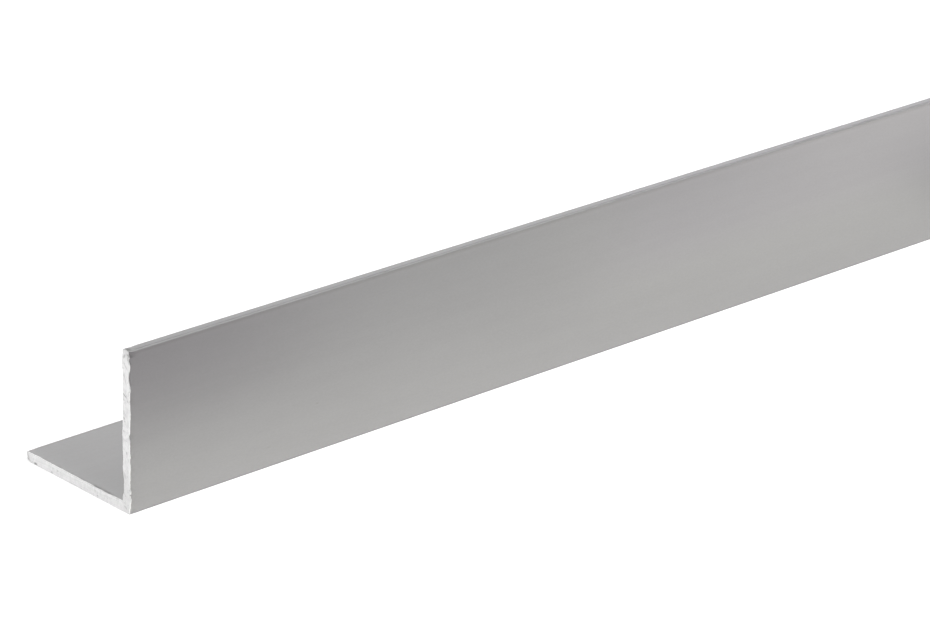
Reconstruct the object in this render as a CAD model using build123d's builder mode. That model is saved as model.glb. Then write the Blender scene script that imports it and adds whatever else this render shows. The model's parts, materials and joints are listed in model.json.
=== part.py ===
"""Equal-leg aluminium angle, 1 in x 1 in x 1/16 in, in a stock length of 36 in.

The bar is one extrusion, sawn square at both ends. It lies on its base leg, with the
upright leg along one side, and its heel is the outside corner where the two legs meet.

Millimetres. +X runs along the bar, +Y from the heel to the toe of the base leg, and +Z up.
The origin is the middle of the base leg's underside.
"""

from build123d import *

import os

INCH = 25.4

# Driving dimensions
length = 36 * INCH
base_width = 1 * INCH  # heel to toe of the leg that lies flat
upright_height = 1 * INCH  # heel to toe of the leg that stands
base_wall = INCH / 16
upright_wall = INCH / 16

# Corners left by the extrusion die
toe_radius = 0.25  # both edges of each leg's free end
heel_radius = 0.1  # outside corner, where the legs meet
root_radius = 0.25  # inside corner

# Places across the bar
outer_side = -base_width / 2  # the upright leg's outer face
inner_side = outer_side + upright_wall  # the upright leg's inner face
toe_side = outer_side + base_width  # the base leg's free end

# Corners of the section, as places across the bar and up it
toe_corners = [
    (toe_side, 0),
    (toe_side, base_wall),
    (outer_side, upright_height),
    (inner_side, upright_height),
]
heel_corner = (outer_side, 0)
root_corner = (inner_side, base_wall)


def vertices_at(sketch, corners):
    """The sketch's vertices that stand at the given corners of the section."""
    return [sketch.vertices().sort_by_distance((*place, 0))[0] for place in corners]


# The die's section is drawn across the bar: sketch X is the bar's Y, and sketch Y its Z.
sawn_end = Plane(origin=(-length / 2, 0, 0), x_dir=(0, 1, 0), z_dir=(1, 0, 0))

with BuildPart() as angle:
    with BuildSketch(sawn_end) as section:
        with Locations((outer_side, 0)):
            Rectangle(base_width, base_wall, align=(Align.MIN, Align.MIN))
            Rectangle(upright_wall, upright_height, align=(Align.MIN, Align.MIN))
        # A fillet renews the sketch, so each set of vertices is picked after the last one.
        fillet(vertices_at(section, toe_corners), radius=toe_radius)
        fillet(vertices_at(section, [heel_corner]), radius=heel_radius)
        fillet(vertices_at(section, [root_corner]), radius=root_radius)
    extrude(amount=length)

angle.part.label = "aluminium_angle"

os.makedirs("parts", exist_ok=True)
export_step(angle.part, "parts/aluminium_angle.step")
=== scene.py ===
"""A bar of equal-leg aluminium angle, sawn at both ends, on a pale studio floor.

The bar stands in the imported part's own frame, in metres: +X along the bar, +Y from the heel to the
toe of the base leg, +Z up, and the origin in the middle of the base leg's underside. Its section is
drawn where the near end is, cut into small cells, and pulled out along the bar. The ends then get
what the saw and handling leave: a smeared and torn rim, worn corners, ridges across the cut, and a
cut that leans.
"""

import json
import math

import bmesh
import bpy
from mathutils import Euler, Matrix, Vector


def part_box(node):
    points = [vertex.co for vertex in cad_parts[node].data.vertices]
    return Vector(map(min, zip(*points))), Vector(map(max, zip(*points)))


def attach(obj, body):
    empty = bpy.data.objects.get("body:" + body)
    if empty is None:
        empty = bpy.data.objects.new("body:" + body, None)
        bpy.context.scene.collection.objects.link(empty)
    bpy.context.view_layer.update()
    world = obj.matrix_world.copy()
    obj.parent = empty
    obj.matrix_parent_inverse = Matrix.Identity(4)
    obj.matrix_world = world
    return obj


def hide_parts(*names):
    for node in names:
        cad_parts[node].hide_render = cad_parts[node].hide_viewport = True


bl_info = {
    "name": "Aluminium Angle",
    "version": (1, 0, 0),
    "blender": (4, 5, 0),
    "location": "View3D > Sidebar > Angle",
    "description": "Models a sawn bar of aluminium angle and its studio floor",
    "category": "Add Mesh",
}

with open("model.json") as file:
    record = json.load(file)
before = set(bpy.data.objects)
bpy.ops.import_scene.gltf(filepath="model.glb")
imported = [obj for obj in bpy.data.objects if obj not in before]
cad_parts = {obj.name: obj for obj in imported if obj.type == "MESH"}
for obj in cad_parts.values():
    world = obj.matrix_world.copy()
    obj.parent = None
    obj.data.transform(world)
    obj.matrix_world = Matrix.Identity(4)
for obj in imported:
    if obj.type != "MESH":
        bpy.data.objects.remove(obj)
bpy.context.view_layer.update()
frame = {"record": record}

MM = 0.001
HAIR = 0.001 * MM  # anything closer than this is the same place

NODE = "aluminium_angle"

near_corner, far_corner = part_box(NODE)
mounts = {mount["name"]: mount for mount in frame["record"]["mounts"]}

NEAR_END, FAR_END = near_corner.x, far_corner.x
OUTER_SIDE, TOE_SIDE = near_corner.y, far_corner.y
UNDERSIDE, TOP = near_corner.z, far_corner.z
WALL = mounts["base_inner_face"]["pos_m"][2]  # the height of that face, as the underside is at 0

# -------------------------------------------------------------------------------------------------
# What the saw and handling have left
# -------------------------------------------------------------------------------------------------

# Where the end bands are cut, from each end of the bar: the rim's two rings, and then wider ones
RIM_DEPTH = 0.14 * MM
BANDS = (0.05 * MM, RIM_DEPTH, 0.3 * MM, 0.6 * MM, 1.2 * MM, 3 * MM)
CELLS_IN_WALL = 12
ARC_STEPS = 8
SHARP_EDGE = 32  # degrees that an edge turns by, above which it is shaded sharp

# Size and depth of the tears in the rim, and size of the ridges across the cut
TEAR_SIZE, TEAR_DEPTH = 0.4 * MM, 0.05 * MM
RIDGE_SIZE = 0.35 * MM

# Depth of what is too fine to model: the die's lines along the skin, and the grain of the cut
LINE_DEPTH, GRAIN_DEPTH = 0.002 * MM, 0.012 * MM

# Slant of the tooth marks on each leg, and of the scratches, in degrees about the bar's own axis
UPRIGHT_SLANT, BASE_SLANT, SCRATCH_SLANT = 32, 2, 47

# How far each cut is off square, in degrees: about the bar's Y, and about its Z
NEAR_LEAN = (-1.27, 0.68)
FAR_LEAN = (0.8, -0.5)
LEAN_DEPTH = 2 * MM  # how far from its end the bar leans with its cut

# The faces that a rim can wave over: the axis that runs along the face's leg from the heel, the
# axis that crosses the leg's wall, and a place on the wall's other face
FACES = {
    "outer": (2, 1, (0, OUTER_SIDE + WALL, 0)),
    "inner": (2, 1, (0, OUTER_SIDE, 0)),
    "base": (1, 2, (0, 0, UNDERSIDE)),
    "under": (1, 2, (0, 0, UNDERSIDE + WALL)),
}
HEEL = (NEAR_END, OUTER_SIDE, UNDERSIDE)

# The waves of each cut's rim, in millimetres: the face that they stand over, how far from the heel
# the middle of each one is, how far it stands out there, or in where that is negative, and how far
# it reaches to each side
NEAR_WAVES = (
    ("outer", 2.4, 0.34, 0.8),
    ("outer", 3.5, 0.36, 0.8),
    ("outer", 4.4, 0.10, 0.9),
    ("outer", 5.7, 0.08, 1.4),
    ("outer", 7.4, 0.13, 1.0),
    ("outer", 9.0, 0.10, 0.7),
    ("outer", 12.1, -0.18, 0.7),
    ("outer", 15.4, 0.10, 1.9),
    ("outer", 17.6, -0.04, 0.7),
    ("outer", 19.2, 0.07, 0.7),
    ("outer", 21.3, -0.28, 1.5),
    ("outer", 23.9, -0.26, 0.7),
    ("outer", 24.9, -0.08, 0.7),
    ("inner", 3.4, -0.32, 1.2),
    ("inner", 4.8, -0.36, 1.6),
    ("inner", 6.3, -0.10, 0.9),
    ("inner", 8.3, -0.12, 1.8),
    ("inner", 12.3, 0.08, 1.1),
    ("inner", 23.2, 0.18, 1.9),
    ("base", 5.5, -0.07, 2.6),
    ("base", 8.0, -0.08, 1.4),
    ("base", 11.5, -0.03, 2.0),
    ("base", 22.0, 0.06, 1.6),
    ("under", 4.3, 0.05, 1.8),
    ("under", 14.0, -0.09, 4.0),
    ("under", 20.5, -0.10, 3.6),
    ("under", 23.4, -0.12, 1.7),
)
FAR_WAVES = (
    ("outer", 3.4, 0.12, 1.6),
    ("outer", 8.8, 0.20, 1.1),
    ("outer", 13.1, -0.11, 1.4),
    ("outer", 20.6, 0.17, 1.5),
    ("inner", 7.2, 0.12, 1.2),
    ("inner", 18.0, -0.08, 2.2),
    ("base", 9.4, 0.09, 1.1),
    ("base", 19.2, -0.10, 0.9),
)

# The spots at each end whose metal has been worn away or pushed aside: where each one is, across
# the bar and up it, and then, in millimetres, how far its metal has gone along the bar, across and
# up, and how far around it the metal has followed
NEAR_WEAR = (
    ((TOE_SIDE, UNDERSIDE), (0.10, -0.22, 0.26), 1.3),
    ((TOE_SIDE, UNDERSIDE + WALL), (0.06, -0.06, -0.05), 0.7),
    ((OUTER_SIDE, TOP), (0.06, 0.22, -0.12), 1.1),
    ((OUTER_SIDE, UNDERSIDE + 1.5 * MM), (0.0, -0.14, 0.0), 0.7),
)
FAR_WEAR = (((TOE_SIDE, UNDERSIDE + WALL), (-0.06, -0.12, -0.10), 0.9),)
WEAR_CORE = 0.3 * MM  # how far around a worn spot the metal has gone all the way

# Single scratches and pits on the near cut, in millimetres: how far each one's middle is from the
# outer face and from the underside, how long and wide it is, how many degrees its length is turned
# up from level, and how dark it is, from 0 to 1
NEAR_MARKS = (
    ((1.10, 18.30), (2.2, 0.34), 30, 0.5),
    ((0.45, 17.60), (0.9, 0.30), 54, 0.4),
    ((1.10, 20.90), (2.8, 0.34), 68, 0.25),
    ((1.34, 17.55), (0.5, 0.40), 0, 0.25),
    ((1.27, 14.70), (0.8, 0.40), 30, 0.3),
    ((1.08, 14.25), (0.5, 0.34), 0, 0.25),
    ((1.34, 12.70), (0.6, 0.50), 0, 0.25),
    ((0.64, 9.50), (0.6, 0.40), 60, 0.35),
    ((1.05, 5.80), (1.6, 0.90), 65, 0.2),
    ((1.50, 4.20), (2.4, 0.50), 85, 0.35),
    ((-0.30, 3.10), (0.6, 0.50), 0, 0.8),
    ((1.00, 0.95), (0.8, 0.44), 20, 0.25),
    ((0.30, 24.60), (1.2, 0.50), 30, 0.4),
    ((1.20, 24.30), (1.2, 0.50), 120, 0.4),
    ((7.65, 0.40), (0.6, 0.40), 0, 0.4),
    ((17.40, 1.00), (0.6, 0.44), 0, 0.35),
    ((18.90, 0.30), (0.8, 0.44), 0, 0.35),
    ((22.95, 0.30), (1.1, 0.50), 0, 0.8),
    ((24.90, 0.70), (1.8, 0.80), 80, 0.35),
)
ENDLESS = 1000.0  # metres that a mark reaches along the bar, so that it shows on any leaning cut

# Colours painted on the skin: white for painted highlight, dark grey for painted shade, a bloom,
# and dark brown for smut and painted shade
PAINTED_HIGHLIGHT = (1.0, 1.0, 1.0)
TOP_SHADE = (0.105, 0.088, 0.105)
BLOOM = (0.315, 0.274, 0.35)
SMUT_AND_SHADE = (0.10, 0.085, 0.07)

# Brightness of the skin's light and dark streaks, and of the cut's pale grain, its dull dirt and
# painted shade, and its dark marks, as shares of the plain colour's
LIGHT, DARK = 1.05, 0.95
PALE, DULL, MARKED = 0.85, 0.55, 0.2

# -------------------------------------------------------------------------------------------------
# What the studio has
# -------------------------------------------------------------------------------------------------

WARM = (1.0, 0.995, 0.91)  # colour of the light that comes up from the floor

# The lit floor beside the upright leg, in millimetres: how far each panel of it reaches along the
# bar from the near end, how far away from the leg, and how bright it is where white paper is 1
FLOOR_GLOWS = (
    ("near_glow", (-10, 190), (0, 15), 0.44),
    ("corner_glow", (-10, 50), (15, 35), 0.29),
    ("middle_glow", (50, 110), (15, 35), 0.42),
    ("bright_glow", (110, 190), (15, 35), 0.77),
    ("far_glow", (190, 300), (35, 130), 1.22),
)
GLOW_LIFT = 0.3 * MM  # how far above the floor the panels lie

# Heights on the unit sphere of the sky between which the white horizon turns into the dim room
HORIZON = (0.06, 0.1)

# Where the camera stands, beyond the near end, and its heading, pitch and roll in degrees
CAMERA_PLACE = (NEAR_END - 325.272 * MM, -437.292 * MM, 244.981 * MM)
CAMERA_ANGLES = (47.378, 21.732, 0.794)


# -------------------------------------------------------------------------------------------------
# Sizes and colours that a user would change
# -------------------------------------------------------------------------------------------------


class AngleBarSettings(bpy.types.PropertyGroup):
    """Sizes and finish of the bar."""

    toe_radius: bpy.props.FloatProperty(
        name="Toe Radius",
        description="Radius of both edges of each leg's free end",
        default=0.25 * MM,
        min=0.05 * MM,
        subtype="DISTANCE",
        unit="LENGTH",
    )
    heel_radius: bpy.props.FloatProperty(
        name="Heel Radius",
        description="Radius of the outside corner where the legs meet",
        default=0.1 * MM,
        min=0.05 * MM,
        subtype="DISTANCE",
        unit="LENGTH",
    )
    root_radius: bpy.props.FloatProperty(
        name="Root Radius",
        description="Radius of the inside corner where the legs meet",
        default=0.25 * MM,
        min=0.05 * MM,
        subtype="DISTANCE",
        unit="LENGTH",
    )
    burr: bpy.props.FloatProperty(
        name="Burr",
        description="How strongly the saw has smeared the rim of its cut, where 1 is as listed",
        default=1.0,
        min=0.0,
        max=2.0,
        subtype="FACTOR",
    )
    saw_depth: bpy.props.FloatProperty(
        name="Saw Mark Depth",
        description="Height of the ridges across the sawn ends",
        default=0.03 * MM,
        min=0.0,
        subtype="DISTANCE",
        unit="LENGTH",
    )
    skin_color: bpy.props.FloatVectorProperty(
        name="Skin Color",
        description="Colour of the satin skin that the die leaves",
        default=(0.297, 0.2935, 0.2945),
        min=0.0,
        max=1.0,
        size=3,
        subtype="COLOR",
    )
    skin_roughness: bpy.props.FloatProperty(
        name="Skin Roughness",
        description="Roughness of the satin skin",
        default=0.45,
        min=0.0,
        max=1.0,
        subtype="FACTOR",
    )
    cut_color: bpy.props.FloatVectorProperty(
        name="Cut Color",
        description="Colour of the bare metal that the saw has opened",
        default=(0.81, 0.805, 0.806),
        min=0.0,
        max=1.0,
        size=3,
        subtype="COLOR",
    )
    cut_roughness: bpy.props.FloatProperty(
        name="Cut Roughness",
        description="Roughness of the sawn metal",
        default=0.5,
        min=0.0,
        max=1.0,
        subtype="FACTOR",
    )


class StudioSettings(bpy.types.PropertyGroup):
    """Floor, lamps and camera of the studio."""

    floor_color: bpy.props.FloatVectorProperty(
        name="Floor Color",
        description="Colour of the paper that the bar lies on",
        default=(0.9, 0.9, 0.9),
        min=0.0,
        max=1.0,
        size=3,
        subtype="COLOR",
    )
    floor_size: bpy.props.FloatProperty(
        name="Floor Size",
        description="Length of the floor's sides",
        default=80.0,
        min=1.0,
        subtype="DISTANCE",
        unit="LENGTH",
    )
    floor_lift: bpy.props.FloatProperty(
        name="Floor Lift",
        description="How much brighter than it is lit the floor looks, where 1 is white",
        default=0.18,
        min=0.0,
        max=1.0,
        subtype="FACTOR",
    )
    room_brightness: bpy.props.FloatProperty(
        name="Room Brightness",
        description="Brightness of the room above the horizon, where 1 is white",
        default=0.1,
        min=0.0,
        max=1.0,
        subtype="FACTOR",
    )
    key_brightness: bpy.props.FloatProperty(
        name="Key Brightness",
        description="Brightness that the main lamp gives white paper that faces it",
        default=0.92,
        min=0.0,
    )
    side_brightness: bpy.props.FloatProperty(
        name="Side Brightness",
        description="Brightness that the lamp at the side gives white paper that faces it",
        default=0.25,
        min=0.0,
    )
    back_brightness: bpy.props.FloatProperty(
        name="Back Brightness",
        description="Brightness of the panel behind the bar, where white paper is 1",
        default=3.0,
        min=0.0,
    )
    glow_brightness: bpy.props.FloatProperty(
        name="Glow Brightness",
        description="How strongly the lit floor in front of the bar shines, where 1 is as listed",
        default=1.0,
        min=0.0,
    )
    lens: bpy.props.FloatProperty(
        name="Lens",
        description="Focal length of the camera, for a sensor 36 mm wide",
        default=156.58,
        min=10.0,
        subtype="DISTANCE_CAMERA",
    )


# -------------------------------------------------------------------------------------------------
# Material nodes
# -------------------------------------------------------------------------------------------------


class Field:
    """A number that varies over a surface: an output socket, whose arithmetic adds Math nodes."""

    def __init__(self, nodes, socket):
        self.nodes = nodes
        self.socket = socket

    def _maths(self, operation, first, second=0.0):
        inputs = {0: first, 1: second}
        return self.nodes.add("ShaderNodeMath", {"operation": operation}, inputs).out("Value")

    def __add__(self, other):
        return self._maths("ADD", self, other)

    def __radd__(self, other):
        return self._maths("ADD", other, self)

    def __sub__(self, other):
        return self._maths("SUBTRACT", self, other)

    def __rsub__(self, other):
        return self._maths("SUBTRACT", other, self)

    def __mul__(self, other):
        return self._maths("MULTIPLY", self, other)

    def __rmul__(self, other):
        return self._maths("MULTIPLY", other, self)

    def __abs__(self):
        return self._maths("ABSOLUTE", self)

    def or_less(self, other):
        """The lesser of two numbers."""
        return self._maths("MINIMUM", self, other)

    def or_more(self, other):
        """The greater of two numbers."""
        return self._maths("MAXIMUM", self, other)

    def clamped(self):
        """The number kept between 0 and 1."""
        return self.nodes.add("ShaderNodeClamp", {}, {"Value": self}).out("Result")

    def ramped(self, low, high):
        """The number as a smooth step, which is 0 at low and 1 at high."""
        inputs = {"Value": self, "From Min": low, "From Max": high}
        settings = {"interpolation_type": "SMOOTHSTEP"}
        return self.nodes.add("ShaderNodeMapRange", settings, inputs).out("Result")

    def faded(self, low, high):
        """The number as a smooth step, which is 1 at low and 0 at high."""
        return 1.0 - self.ramped(low, high)


class Nodes:
    """The node tree of one material or world."""

    def __init__(self, owner):
        owner.use_nodes = True
        self.owner = owner
        self.tree = owner.node_tree
        self.tree.nodes.clear()
        self.last = None

    def add(self, kind, settings, inputs):
        """Adds a node, changes its settings, and then gives its input sockets values or links."""
        self.last = self.tree.nodes.new(kind)
        for name, value in settings.items():
            setattr(self.last, name, value)
        for name, value in inputs.items():
            socket = self.last.inputs[name]
            if isinstance(value, Field):
                self.tree.links.new(value.socket, socket)
            elif socket.type == "RGBA":
                socket.default_value = (*value, 1.0)
            else:
                socket.default_value = value
        return self

    def out(self, name):
        """The last node's output of that name."""
        return Field(self, self.last.outputs[name])

    def place(self):
        """Where a point of the surface is in the part's frame, in metres."""
        return self.add("ShaderNodeTexCoord", {}, {}).out("Object")

    def axes(self, place):
        """The X, Y and Z of a place, as three numbers."""
        self.add("ShaderNodeSeparateXYZ", {}, {"Vector": place})
        return self.out("X"), self.out("Y"), self.out("Z")

    def turned(self, place, turn):
        """The place after a turn about the bar's own axis, in degrees."""
        inputs = {"Vector": place, "Rotation": (math.radians(turn), 0.0, 0.0)}
        return self.add("ShaderNodeMapping", {"vector_type": "POINT"}, inputs).out("Vector")

    def noise(self, place, cell, detail=2.0, roughness=0.5):
        """Smooth noise from 0 to 1, with features as long as cell along each axis, in metres."""
        scale = tuple(1 / side for side in cell)
        self.add("ShaderNodeVectorMath", {"operation": "MULTIPLY"}, {0: place, 1: scale})
        scaled = self.out("Vector")
        inputs = {"Vector": scaled, "Scale": 1.0, "Detail": detail, "Roughness": roughness}
        return self.add("ShaderNodeTexNoise", {}, inputs).out("Fac")

    def spot(self, place, middle, size, turn):
        """A long spot on a cut, 1 in its middle and 0 outside it.

        In millimetres, its middle is given from the outer face and the underside, and its size as
        length and width. In degrees, its length is turned up from level.
        """
        inputs = {
            "Vector": place,
            "Location": (0.0, OUTER_SIDE + middle[0] * MM, UNDERSIDE + middle[1] * MM),
            "Rotation": (math.radians(turn), 0.0, 0.0),
            "Scale": (ENDLESS, size[0] * MM / 2, size[1] * MM / 2),
        }
        inside = self.add("ShaderNodeMapping", {"vector_type": "TEXTURE"}, inputs).out("Vector")
        self.add("ShaderNodeVectorMath", {"operation": "LENGTH"}, {0: inside})
        return self.out("Value").faded(0.2, 1.0)

    def mixed(self, share, first, second):
        """The first colour, with a share of the second."""
        # The node has sockets of the same names for other types too, so a colour's go by number.
        inputs = {"Factor": share, 6: first, 7: second}
        return self.add("ShaderNodeMix", {"data_type": "RGBA"}, inputs).out(2)

    def relief(self, height, depth):
        """The surface's normal once a height from 0 to 1 stands up to depth metres above it."""
        inputs = {"Height": height, "Strength": 1.0, "Distance": depth}
        return self.add("ShaderNodeBump", {}, inputs).out("Normal")

    def finish(self, inputs):
        """Ends the tree in a Principled shader with these inputs, and returns the material."""
        shader = self.add("ShaderNodeBsdfPrincipled", {}, inputs).out("BSDF")
        self.add("ShaderNodeOutputMaterial", {}, {"Surface": shader})
        return self.owner


# In the materials' sums, the number before a mark is how strongly it shows or stands out.


def shaded(color, share):
    """A colour with each channel at a share of its own."""
    return tuple(share * channel for channel in color)


def satin_skin(settings):
    """Extruded aluminium: a grey satin skin with faint lines that the die drew along the bar."""
    nodes = Nodes(bpy.data.materials.new("satin_skin"))
    place = nodes.place()
    along, across, up = nodes.axes(place)
    from_outside, from_underside = across - OUTER_SIDE, up - UNDERSIDE
    to_end = FAR_END - abs(along)
    to_toe = (TOE_SIDE - across).or_less(TOP - up)
    to_heel = from_outside.or_more(from_underside)

    fine_lines = nodes.noise(place, (0.4, 0.11 * MM, 0.11 * MM), detail=3.0)
    broad_lines = nodes.noise(place, (1.2, 1.6 * MM, 1.6 * MM))
    cloud = nodes.noise(place, (14 * MM, 5 * MM, 5 * MM), detail=3.0, roughness=0.6)
    satin = nodes.noise(place, (0.5 * MM, 0.25 * MM, 0.25 * MM))
    streaks = 0.2 * broad_lines + 0.35 * cloud + 0.12 * fine_lines + 0.33 * satin
    dark, light = shaded(settings.skin_color, DARK), shaded(settings.skin_color, LIGHT)
    clean = nodes.mixed(streaks.ramped(0.25, 0.75), dark, light)

    # High on the upright leg, painted shade darkens it near the ends, and it has a faint bloom
    # between them.
    inside_toe = to_toe.ramped(0.05 * MM, 0.4 * MM)
    painted_top_shade = to_end.faded(2 * MM, 60 * MM) * from_underside.ramped(6 * MM, 24 * MM) * inside_toe
    bloomed = to_end.ramped(85 * MM, 112 * MM) * from_underside.ramped(8 * MM, 17 * MM)
    shaded_and_bloomed = nodes.mixed(0.3 * painted_top_shade, nodes.mixed(0.1 * bloomed, clean, BLOOM), TOP_SHADE)

    # Painted highlight lies along the toes and the heel, and beside the base leg's cut near the
    # heel;
    # along the toes it also stands for metal rubbed bright.
    toe_highlight = to_toe.ramped(0.0, 0.08 * MM) * to_toe.faded(0.12 * MM, 0.28 * MM)
    heel_highlight = to_heel.faded(0.15 * MM, 0.5 * MM)
    base_rim = to_end.faded(0.2 * MM, 0.42 * MM) * from_underside.faded(2 * MM, 3 * MM)
    rim_highlight = base_rim * to_heel.faded(9 * MM, 13 * MM)
    painted_highlights = 0.26 * toe_highlight + 0.05 * heel_highlight + 0.32 * rim_highlight

    # Painted shade lies in a line beside each cut and in a line by each toe; smut lies in a stain
    # beside each cut and in specks.
    smut_and_shade_noise = nodes.noise(place, (0.6 * MM, 0.7 * MM, 0.7 * MM), detail=3.0)
    outside = from_outside.faded(0.5 * WALL, WALL)
    darker_above = 0.45 + 0.55 * from_underside.ramped(17 * MM, 21 * MM)
    cut_shade_line = to_end.faded(0.18 * MM, 0.42 * MM) * smut_and_shade_noise.ramped(0.2, 0.4) * outside * darker_above
    stain = to_end.faded(0.3 * MM, 1.6 * MM) * smut_and_shade_noise.ramped(0.35, 0.75)
    toe_shade_line = to_toe.ramped(0.22 * MM, 0.34 * MM) * to_toe.faded(0.5 * MM, 0.8 * MM)
    specks = nodes.noise(place, (2.5 * MM, 0.9 * MM, 0.9 * MM), detail=1.0).ramped(0.77, 0.83)
    soiled_and_shaded = (0.85 * cut_shade_line + 0.16 * stain + 0.1 * toe_shade_line + 0.12 * specks).clamped()

    roughness = settings.skin_roughness + 0.05 * (cloud - 0.5) + 0.04 * (fine_lines - 0.5)
    return nodes.finish(
        {
            "Base Color": nodes.mixed(soiled_and_shaded, nodes.mixed(painted_highlights, shaded_and_bloomed, PAINTED_HIGHLIGHT), SMUT_AND_SHADE),
            "Metallic": 1.0,
            "Roughness": roughness,
            "Normal": nodes.relief(fine_lines + broad_lines, LINE_DEPTH),
        }
    )


def sawn_metal(settings):
    """Freshly sawn aluminium: bright and grainy, with tooth marks, scratches, pits, dirt and painted
    shade.
    """
    nodes = Nodes(bpy.data.materials.new("sawn_metal"))
    place = nodes.place()
    along, across, up = nodes.axes(place)
    from_outside, from_underside = across - OUTER_SIDE, up - UNDERSIDE
    to_toe = (TOE_SIDE - across).or_less(TOP - up)
    on_base = from_outside.ramped(1.2 * MM, 2.4 * MM)
    on_upright = 1.0 - on_base
    on_near_cut = along.faded(-1 * MM, 1 * MM)

    # The teeth ran slantwise over the upright leg, and almost level along the base leg.
    slanted, level = nodes.turned(place, UPRIGHT_SLANT), nodes.turned(place, BASE_SLANT)
    upright_marks = nodes.noise(slanted, (5 * MM, 0.12 * MM, 4 * MM), detail=3.0)
    base_marks = nodes.noise(level, (5 * MM, 5 * MM, 0.14 * MM), detail=3.0)
    tooth_marks = upright_marks * on_upright + base_marks * on_base
    grain = nodes.noise(place, (0.3 * MM, 0.18 * MM, 0.18 * MM), detail=4.0, roughness=0.7)
    mottle = nodes.noise(place, (0.9 * MM, 0.6 * MM, 0.9 * MM), detail=3.0)
    clean = (0.35 * grain + 0.65 * mottle).ramped(0.36, 0.56).or_more(0.55 * on_base)
    grained = nodes.mixed(clean, shaded(settings.cut_color, PALE), settings.cut_color)

    # Dirt lies by the toes, up from the heel, and in what the saw has dug; painted shade lies along
    # the low edge.
    worn_toe = to_toe.faded(0.3 * MM, 2.2 * MM) * mottle.ramped(0.35, 0.55)
    by_heel = from_underside.faded(4 * MM, 8 * MM) * from_outside.faded(1 * MM, 2 * MM)
    worn_heel = by_heel * mottle.ramped(0.35, 0.6)
    low_edge_shade = from_underside.faded(0.1 * MM, 0.5 * MM)
    steep = nodes.turned(place, SCRATCH_SLANT)
    scratches = nodes.noise(steep, (2 * MM, 0.2 * MM, 3 * MM), detail=1.0)
    scratched = scratches.ramped(0.66, 0.72) * on_upright
    pits = nodes.noise(place, (0.5 * MM, 0.32 * MM, 0.4 * MM), detail=1.0)
    pitted = pits.ramped(0.66, 0.76)
    lined = tooth_marks.ramped(0.5, 0.65) * on_base
    worn_and_shaded = 0.34 * worn_toe + 0.2 * worn_heel + 0.12 * low_edge_shade
    soiled_and_shaded = (worn_and_shaded + 0.4 * scratched + 0.6 * pitted + 0.14 * lined).clamped()
    dirty_and_shaded = nodes.mixed(soiled_and_shaded, grained, shaded(settings.cut_color, DULL))

    spots = [darkness * nodes.spot(place, *mark) for *mark, darkness in NEAR_MARKS]
    marked = sum(spots, 0.0) * on_near_cut
    dug = 0.5 * scratched + 0.5 * pitted + 0.8 * marked
    return nodes.finish(
        {
            "Base Color": nodes.mixed(marked.clamped(), dirty_and_shaded, shaded(settings.cut_color, MARKED)),
            "Metallic": 1.0,
            "Roughness": settings.cut_roughness + 0.2 * (grain - 0.5) + 0.1 * pitted,
            "Normal": nodes.relief(0.6 * tooth_marks + 0.4 * grain - dug, GRAIN_DEPTH),
        }
    )


def studio_paper(studio):
    """Plain pale paper, which the camera and reflections see a little brighter than it is lit."""
    nodes = Nodes(bpy.data.materials.new("studio_paper"))
    nodes.add("ShaderNodeLightPath", {}, {})
    rays = ("Is Camera Ray", "Is Glossy Ray", "Is Transmission Ray")
    camera, glossy, through = (nodes.out(ray) for ray in rays)
    seen = (camera + glossy + through).clamped()
    return nodes.finish(
        {
            "Base Color": studio.floor_color,
            "Roughness": 0.9,
            "Specular IOR Level": 0.0,
            "Emission Color": nodes.mixed(seen, (0.0, 0.0, 0.0), 3 * (studio.floor_lift,)),
            "Emission Strength": 1.0,
        }
    )


def studio_room(studio):
    """A dim room above a white horizon."""
    nodes = Nodes(bpy.data.worlds.new("studio_room"))
    nodes.add("ShaderNodeTexCoord", {}, {})
    _, _, height = nodes.axes(nodes.out("Generated"))
    room = nodes.mixed(height.ramped(*HORIZON), (1.0, 1.0, 1.0), 3 * (studio.room_brightness,))
    nodes.add("ShaderNodeBackground", {}, {"Color": room, "Strength": 1.0})
    nodes.add("ShaderNodeOutputWorld", {}, {"Surface": nodes.out("Background")})
    return nodes.owner


# -------------------------------------------------------------------------------------------------
# Modelling
# -------------------------------------------------------------------------------------------------


def select(kind, test):
    """Selects the vertices, edges or faces of the edited mesh that pass a test, and no others."""
    bpy.ops.mesh.select_mode(type=kind)
    bpy.ops.mesh.select_all(action="DESELECT")
    mesh = bpy.context.edit_object.data
    cells = bmesh.from_edit_mesh(mesh)
    elements = {"VERT": cells.verts, "EDGE": cells.edges, "FACE": cells.faces}[kind]
    chosen = [element for element in elements if test(element)]
    for element in chosen:
        element.select_set(True)
    cells.select_flush_mode()
    bmesh.update_edit_mesh(mesh)
    if not chosen:
        raise RuntimeError(f"nothing to select among the {kind.lower()} elements")


def stands_at(across, up):
    """A test for a vertex at a place given across the bar and up it."""
    return lambda vertex: (vertex.co.yz - Vector((across, up))).length < HAIR


def is_at_cut(end):
    """A test for a vertex of the cut at one end, or of its rim."""
    return lambda vertex: abs(vertex.co.x - end) < RIM_DEPTH + HAIR


def is_on_cut(vertex):
    """Whether a vertex is on the flat of a cut, inside its rim."""
    at_end = FAR_END - abs(vertex.co.x) < HAIR
    return at_end and all(abs(face.normal.x) > 0.9 for face in vertex.link_faces)


def is_on_rim(vertex):
    """Whether a vertex is on the rim around a cut."""
    return FAR_END - abs(vertex.co.x) < RIM_DEPTH + HAIR and not is_on_cut(vertex)


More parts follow.
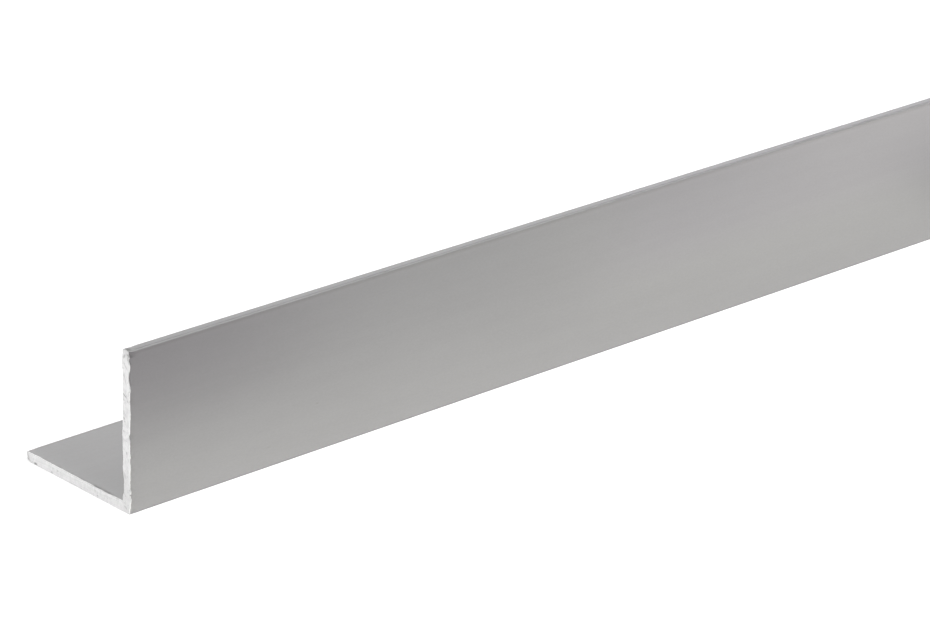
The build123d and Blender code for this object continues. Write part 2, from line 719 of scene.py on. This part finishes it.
def draw_section():
    """Draws the section as one face at the near end: a square at the heel, and a leg each way."""
    middle = (NEAR_END, OUTER_SIDE + WALL / 2, UNDERSIDE + WALL / 2)
    upright = (0, math.radians(90), 0)
    bpy.ops.mesh.primitive_plane_add(size=WALL, location=middle, rotation=upright)
    bar = bpy.context.object
    bar.name = bar.data.name = "angle_bar"
    bpy.ops.object.transform_apply(location=True, rotation=True, scale=True)
    bpy.ops.object.mode_set(mode="EDIT")

    def is_square_side(edge):
        return all(vertex.co.y > OUTER_SIDE + WALL - HAIR for vertex in edge.verts)

    def is_square_top(edge):
        low, wide = UNDERSIDE + WALL - HAIR, OUTER_SIDE + WALL + HAIR
        return all(vertex.co.z > low and vertex.co.y < wide for vertex in edge.verts)

    base_leg = (0, TOE_SIDE - OUTER_SIDE - WALL, 0)
    upright_leg = (0, 0, TOP - UNDERSIDE - WALL)
    for is_leg_start, leg in ((is_square_side, base_leg), (is_square_top, upright_leg)):
        select("EDGE", is_leg_start)
        bpy.ops.mesh.extrude_region_move(TRANSFORM_OT_translate={"value": leg})

    bpy.ops.mesh.select_mode(type="FACE")
    bpy.ops.mesh.select_all(action="SELECT")
    bpy.ops.mesh.dissolve_limited(angle_limit=math.radians(1))
    return bar


def round_corners(settings):
    """Rounds the six corners of the section as the die does."""
    toes = [
        stands_at(TOE_SIDE, UNDERSIDE),
        stands_at(TOE_SIDE, UNDERSIDE + WALL),
        stands_at(OUTER_SIDE, TOP),
        stands_at(OUTER_SIDE + WALL, TOP),
    ]
    heel = [stands_at(OUTER_SIDE, UNDERSIDE)]
    root = [stands_at(OUTER_SIDE + WALL, UNDERSIDE + WALL)]
    for corners, radius in (
        (toes, settings.toe_radius),
        (heel, settings.heel_radius),
        (root, settings.root_radius),
    ):
        select("VERT", lambda vertex: any(is_there(vertex) for is_there in corners))
        bpy.ops.mesh.bevel(offset=radius, segments=ARC_STEPS, profile=0.5, affect="VERTICES")


def cut_into_cells():
    """Cuts the section into square cells, so that the saw's marks have vertices to stand on."""
    cell = WALL / CELLS_IN_WALL
    for way, start, end in (
        (Vector((0, 1, 0)), OUTER_SIDE, TOE_SIDE),
        (Vector((0, 0, 1)), UNDERSIDE, TOP),
    ):
        for number in range(round((end - start) / cell)):
            place = way * (start + (number + 0.5) * cell)
            bpy.ops.mesh.select_all(action="SELECT")
            bpy.ops.mesh.bisect(plane_co=place, plane_no=way, threshold=HAIR)


def pull_out():
    """Pulls the section out along the bar, a band at a time."""
    length = FAR_END - NEAR_END
    stops = [*BANDS, *(length - band for band in reversed(BANDS)), length]
    bpy.ops.mesh.select_all(action="SELECT")
    for before, after in zip([0, *stops], stops):
        bpy.ops.mesh.extrude_region_move(TRANSFORM_OT_translate={"value": (after - before, 0, 0)})
    bpy.ops.mesh.select_all(action="SELECT")
    bpy.ops.mesh.normals_make_consistent(inside=False)


def wave_rim(end, waves, burr):
    """Thickens and thins the legs' walls at one cut, wave by wave, towards one face or the other.

    A wave leaves the heel alone, so what stands within a wall of it is hidden meanwhile.
    """
    half_cell = 0.51 * WALL / CELLS_IN_WALL  # a little over, so that a row is always in reach
    at_cut = is_at_cut(end)
    for face, distance, height, reach in waves:
        along, through, other_face = FACES[face]
        select("VERT", lambda v: at_cut(v) and v.co[along] > HEEL[along] + WALL + HAIR)
        bpy.ops.mesh.hide(unselected=True)
        middle = HEEL[along] + distance * MM
        select("VERT", lambda v: not v.hide and abs(v.co[along] - middle) < half_cell)
        stretch = [1, 1, 1]
        stretch[through] += height * MM * burr / WALL
        bpy.ops.transform.resize(
            value=stretch,
            center_override=other_face,
            use_proportional_edit=True,
            proportional_edit_falloff="SMOOTH",
            proportional_size=reach * MM,
        )
        bpy.ops.mesh.reveal(select=False)


def wear_spots(end, wear):
    """Moves the metal at the worn spots of one end, and what is around them by less and less."""
    at_cut = is_at_cut(end)
    for spot, way, reach in wear:
        select("VERT", lambda v: at_cut(v) and (v.co.yz - Vector(spot)).length < WEAR_CORE)
        bpy.ops.transform.translate(
            value=Vector(way) * MM,
            use_proportional_edit=True,
            proportional_edit_falloff="SMOOTH",
            proportional_size=reach * MM,
        )


def roughen(bar, name, test, way, size, depth):
    """Displaces the vertices that pass a test by up to depth, with clouds of one size."""
    select("VERT", test)
    bpy.ops.object.vertex_group_add()
    bpy.ops.object.vertex_group_assign()
    bar.vertex_groups.active.name = name
    clouds = bpy.data.textures.new(name, type="CLOUDS")
    clouds.noise_scale = size
    bpy.ops.object.mode_set(mode="OBJECT")
    bpy.ops.object.modifier_add(type="DISPLACE")
    displace = bar.modifiers[-1]
    displace.texture = clouds
    displace.vertex_group = name
    displace.direction = way
    displace.strength = 2 * depth
    bpy.ops.object.modifier_apply(modifier=displace.name)
    bpy.ops.object.mode_set(mode="EDIT")


def lean_cut(end, lean):
    """Turns the cut at one end off square about its heel: back at the top, and then at the toe."""
    select("VERT", lambda vertex: abs(vertex.co.x - end) < LEAN_DEPTH)
    heel = (end, OUTER_SIDE, UNDERSIDE)
    for axis, turn in zip("YZ", lean):
        bpy.ops.transform.rotate(value=math.radians(turn), orient_axis=axis, center_override=heel)


class ANGLE_OT_bar(bpy.types.Operator):
    """Model the bar, with its sawn ends and its finish"""

    bl_idname = "angle.bar"
    bl_label = "Aluminium Angle"
    bl_options = {"REGISTER", "UNDO"}

    def execute(self, context):
        settings = context.scene.angle_bar
        bpy.ops.object.select_all(action="DESELECT")
        bar = draw_section()
        round_corners(settings)
        cut_into_cells()
        pull_out()
        for end, waves, wear in (
            (NEAR_END, NEAR_WAVES, NEAR_WEAR),
            (FAR_END, FAR_WAVES, FAR_WEAR),
        ):
            wave_rim(end, waves, settings.burr)
            wear_spots(end, wear)
        roughen(bar, "torn_rim", is_on_rim, "NORMAL", TEAR_SIZE, TEAR_DEPTH * settings.burr)
        roughen(bar, "saw_marks", is_on_cut, "X", RIDGE_SIZE, settings.saw_depth)

        bar.data.materials.append(satin_skin(settings))
        bar.data.materials.append(sawn_metal(settings))
        select("FACE", lambda face: FAR_END - abs(face.calc_center_median().x) < RIM_DEPTH)
        bar.active_material_index = bar.data.materials.find("sawn_metal")
        bpy.ops.object.material_slot_assign()
        lean_cut(NEAR_END, NEAR_LEAN)
        lean_cut(FAR_END, FAR_LEAN)
        bpy.ops.object.mode_set(mode="OBJECT")
        bpy.ops.object.shade_smooth_by_angle(angle=math.radians(SHARP_EDGE))

        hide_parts(NODE)
        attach(bar, "root")
        return {"FINISHED"}


# -------------------------------------------------------------------------------------------------
# Studio
# -------------------------------------------------------------------------------------------------


def add_lamp(name, kind, place, aim=(0, 0, 0)):
    """Adds a lamp that stands at one place and shines towards another, unseen by the camera."""
    bpy.ops.object.light_add(type=kind, location=place)
    lamp = bpy.context.object
    lamp.name = lamp.data.name = name
    lamp.rotation_euler = (Vector(place) - Vector(aim)).to_track_quat("Z", "Y").to_euler()
    lamp.visible_camera = False
    return lamp.data


def add_soft_sun(name, heading, height, width, brightness):
    """Adds a sun by its angles in degrees. At a brightness of 1, paper that faces it is white."""
    turn = Euler((0, math.radians(-height), math.radians(heading))).to_matrix()
    away = Vector((2, 0, 0))  # any distance does for a sun
    sun = add_lamp(name, "SUN", turn @ away)
    sun.angle = math.radians(width)
    sun.energy = math.pi * brightness


def add_panel(name, place, aim, size, brightness, color=(1.0, 1.0, 1.0)):
    """Adds a soft panel. At a brightness of 1 it is as bright as white paper."""
    panel = add_lamp(name, "AREA", place, aim)
    panel.shape = "RECTANGLE"
    panel.size, panel.size_y = size
    panel.energy = math.pi * size[0] * size[1] * brightness
    panel.color = color


def add_floor_glow(name, along, away, brightness):
    """Adds a warm panel face up on the floor, by its reach along the bar and away from it."""
    (start, end), (front, back) = along, away
    middle = (NEAR_END + (start + end) / 2 * MM, OUTER_SIDE - (front + back) / 2 * MM)
    place, above = (*middle, UNDERSIDE + GLOW_LIFT), (*middle, 1.0)
    size = ((end - start) * MM, (back - front) * MM)
    add_panel(name, place, above, size, brightness, WARM)


def add_camera(studio):
    """Looks down along the bar from beyond its near end."""
    heading, pitch, roll = (math.radians(angle) for angle in CAMERA_ANGLES)
    bpy.ops.object.camera_add(location=CAMERA_PLACE)
    camera = bpy.context.object
    camera.name = camera.data.name = "camera"
    level = Euler((math.radians(90) - pitch, 0, heading - math.radians(90))).to_matrix()
    camera.rotation_euler = (level @ Matrix.Rotation(roll, 3, "Z")).to_euler()
    camera.data.sensor_fit = "HORIZONTAL"
    camera.data.sensor_width = 36.0
    camera.data.lens = studio.lens
    camera.data.clip_start = 0.01
    camera.data.clip_end = 200.0
    bpy.context.scene.camera = camera


class ANGLE_OT_studio(bpy.types.Operator):
    """Lay the floor, and set up the lamps and the camera"""

    bl_idname = "angle.studio"
    bl_label = "Studio"
    bl_options = {"REGISTER", "UNDO"}

    def execute(self, context):
        studio = context.scene.angle_studio
        bpy.ops.object.select_all(action="DESELECT")
        bpy.ops.mesh.primitive_plane_add(size=studio.floor_size, location=(0, 0, UNDERSIDE))
        floor = context.object
        floor.name = floor.data.name = "floor"
        bpy.ops.object.transform_apply(location=True, rotation=True, scale=True)
        floor.data.materials.append(studio_paper(studio))

        add_soft_sun("key", heading=227, height=50, width=60, brightness=studio.key_brightness)
        add_soft_sun("side", heading=335, height=50, width=30, brightness=studio.side_brightness)
        add_panel(
            "back_panel",
            place=(NEAR_END + 500 * MM, 700 * MM, 300 * MM),
            aim=(NEAR_END + 200 * MM, 0, 0),
            size=(1.4, 0.3),
            brightness=studio.back_brightness,
        )
        for name, along, away, share in FLOOR_GLOWS:
            add_floor_glow(name, along, away, share * studio.glow_brightness)
        context.scene.world = studio_room(studio)
        add_camera(studio)
        context.scene.view_settings.view_transform = "Standard"
        return {"FINISHED"}


class ANGLE_PT_panel(bpy.types.Panel):
    """Lists the bar, the studio and their settings"""

    bl_idname = "ANGLE_PT_panel"
    bl_label = "Aluminium Angle"
    bl_space_type = "VIEW_3D"
    bl_region_type = "UI"
    bl_category = "Angle"

    def draw(self, context):
        for settings, operator in (
            (context.scene.angle_bar, ANGLE_OT_bar),
            (context.scene.angle_studio, ANGLE_OT_studio),
        ):
            box = self.layout.box()
            for name in settings.__annotations__:
                box.prop(settings, name)
            box.operator(operator.bl_idname)


CLASSES = (AngleBarSettings, StudioSettings, ANGLE_OT_bar, ANGLE_OT_studio, ANGLE_PT_panel)


def register():
    for one in CLASSES:
        bpy.utils.register_class(one)
    bpy.types.Scene.angle_bar = bpy.props.PointerProperty(type=AngleBarSettings)
    bpy.types.Scene.angle_studio = bpy.props.PointerProperty(type=StudioSettings)


def unregister():
    del bpy.types.Scene.angle_studio
    del bpy.types.Scene.angle_bar
    for one in reversed(CLASSES):
        bpy.utils.unregister_class(one)


def main():
    """Models the bar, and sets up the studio."""
    register()
    bpy.ops.angle.bar()
    bpy.ops.angle.studio()


if __name__ == "__main__":
    main()
